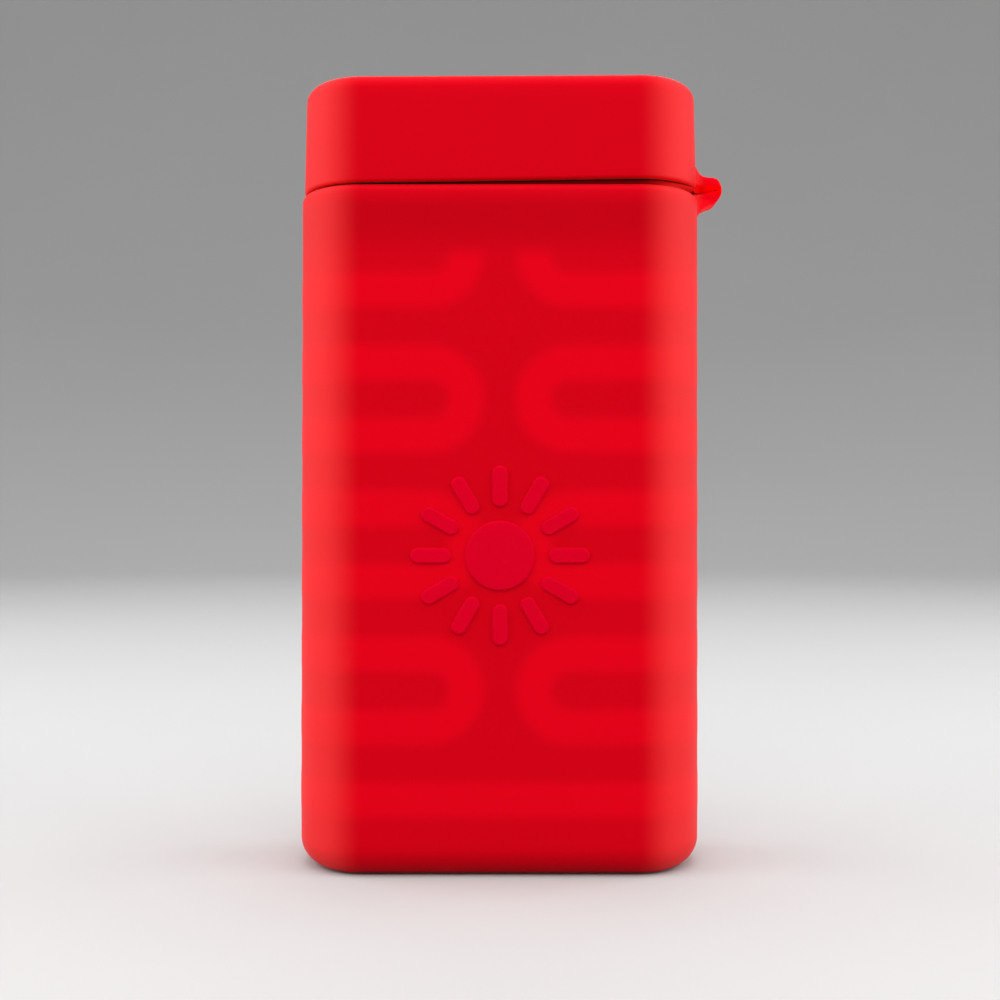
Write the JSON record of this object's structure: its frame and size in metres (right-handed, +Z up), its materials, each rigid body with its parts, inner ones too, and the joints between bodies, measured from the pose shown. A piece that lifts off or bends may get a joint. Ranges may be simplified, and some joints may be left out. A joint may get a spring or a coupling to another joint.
{
  "type": "rechargeable hand warmer",
  "caption": "Pocket hand warmer and power bank in a silicone sleeve, with a hinged silicone cap over its sockets and power button.",
  "frame": {"origin": "middle of the flat face under the sleeve, which the warmer stands on", "axes": "+Z up through the cap, -Y out of the front face with the raised sun, +X towards the cap's hinge"},
  "size_m": [0.0615, 0.0284, 0.113],
  "materials": {
    "silicone": "soft matte, slightly translucent",
    "shell_alloy": "fine blasted",
    "housing_plastic": "fine spark texture",
    "socket_plastic": "moulded",
    "button_plastic": "satin",
    "frame_plastic": "moulded",
    "clear_plastic": "frosted clear",
    "led_body": "moulded",
    "plated_steel": "nickel plated",
    "nickel": "rolled strip",
    "cell_wrap": "shrink wrap",
    "circuit_board": "solder mask",
    "ferrite": "sintered",
    "heating_film": "polyimide film",
    "felt": "felted",
    "red_wire": "silicone insulation",
    "black_wire": "silicone insulation",
    "white_wire": "silicone insulation"
  },
  "bodies": {
    "warmer": {"silicone_sleeve": "silicone", "front_shell": "shell_alloy", "rear_shell": "shell_alloy", "port_housing": "housing_plastic", "base_cap": "housing_plastic", "usb_a_shell": "plated_steel", "usb_a_tongue": "socket_plastic", "usb_c_shell": "plated_steel", "usb_c_tongue": "socket_plastic", "button_switch": "socket_plastic", "light_guide": "clear_plastic", "indicator_led_1": "led_body", "indicator_led_2": "led_body", "indicator_led_3": "led_body", "indicator_led_4": "led_body", "battery_cell_left": "cell_wrap", "battery_cell_right": "cell_wrap", "cell_link_top": "nickel", "cell_link_bottom": "nickel", "battery_tray": "frame_plastic", "main_board": "circuit_board", "charge_chip": "socket_plastic", "boost_coil": "ferrite", "smoothing_capacitor": "plated_steel", "front_heating_film": "heating_film", "rear_heating_film": "heating_film", "front_insulating_pad": "felt", "rear_insulating_pad": "felt", "temperature_sensor": "socket_plastic", "positive_lead": "red_wire", "negative_lead": "black_wire", "front_heater_lead": "white_wire", "rear_heater_lead": "white_wire", "sensor_lead": "white_wire", "base_screw_left": "plated_steel", "base_screw_right": "plated_steel", "board_screw_left": "plated_steel", "board_screw_right": "plated_steel"},
    "cap": {"silicone_cap": "silicone"},
    "button": {"power_button": "button_plastic", "switch_plunger": "frame_plastic"}
  },
  "joints": [
    {"name": "cap_hinge", "type": "hinge", "parent": "warmer", "child": "cap", "pos_m": [0.0327, 0, 0.09848], "axis": [0, 1, 0], "range_deg": [0, 180]},
    {"name": "button_press", "type": "slide", "parent": "warmer", "child": "button", "axis": [0, 0, -1], "range_m": [0, 0.0005], "stiffness_N_per_m": 800}
  ]
}
